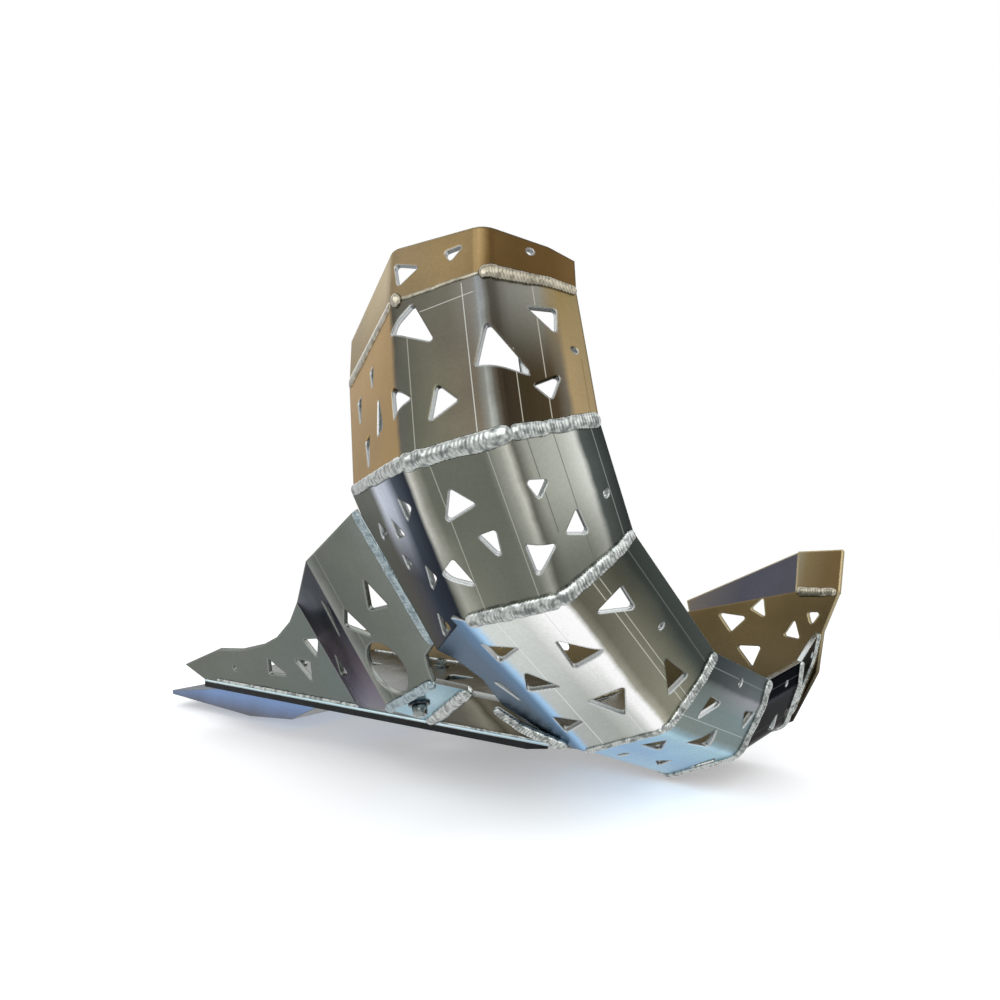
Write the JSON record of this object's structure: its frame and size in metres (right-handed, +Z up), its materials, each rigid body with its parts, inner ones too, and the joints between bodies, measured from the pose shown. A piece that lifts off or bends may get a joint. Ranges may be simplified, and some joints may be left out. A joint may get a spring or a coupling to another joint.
{
  "type": "motorcycle skid plate",
  "caption": "Welded aluminium sheet skid plate with a folded exhaust pipe guard, side wings, linkage guard and plastic wear plate.",
  "frame": {"origin": "midway between the two rear frame bolts, on the base plate's upper face and the motorcycle's middle plane", "axes": "+X forward, +Y to the motorcycle's left, +Z up"},
  "size_m": [0.6381, 0.4411, 0.3926],
  "materials": {
    "sheet_aluminium": "mill-finish rolled sheet, lightly reflective, with fine etched bend marks",
    "weld_bead": "bright rippled hand-welded bead",
    "wear_plastic": "black polyethylene sheet, satin, sawn edges",
    "zinc_steel": "zinc-plated steel fasteners"
  },
  "bodies": {
    "root": {"base_plate": "sheet_aluminium", "wear_plate": "wear_plastic", "wear_screws": "zinc_steel", "wear_nuts": "zinc_steel", "right_wing": "sheet_aluminium", "ledge": "sheet_aluminium", "front_gusset": "sheet_aluminium", "ledge_bolt": "zinc_steel", "ledge_nut": "zinc_steel", "guard_lip": "sheet_aluminium", "guard_segment_1": "sheet_aluminium", "guard_segment_2": "sheet_aluminium", "guard_segment_3": "sheet_aluminium", "guard_segment_4": "sheet_aluminium", "guard_segment_5": "sheet_aluminium", "guard_segment_6": "sheet_aluminium", "left_plate": "sheet_aluminium", "left_corner": "sheet_aluminium", "linkage_guard": "sheet_aluminium", "linkage_screws": "zinc_steel", "weld_lip": "weld_bead", "weld_1_2": "weld_bead", "weld_2_3": "weld_bead", "weld_3_4": "weld_bead", "weld_4_5": "weld_bead", "weld_5_6": "weld_bead", "weld_left_rim": "weld_bead", "weld_wing_guard": "weld_bead", "weld_wing_foot": "weld_bead", "weld_ledge": "weld_bead", "weld_gusset": "weld_bead", "weld_left_corner": "weld_bead", "weld_base": "weld_bead"}
  },
  "joints": []
}
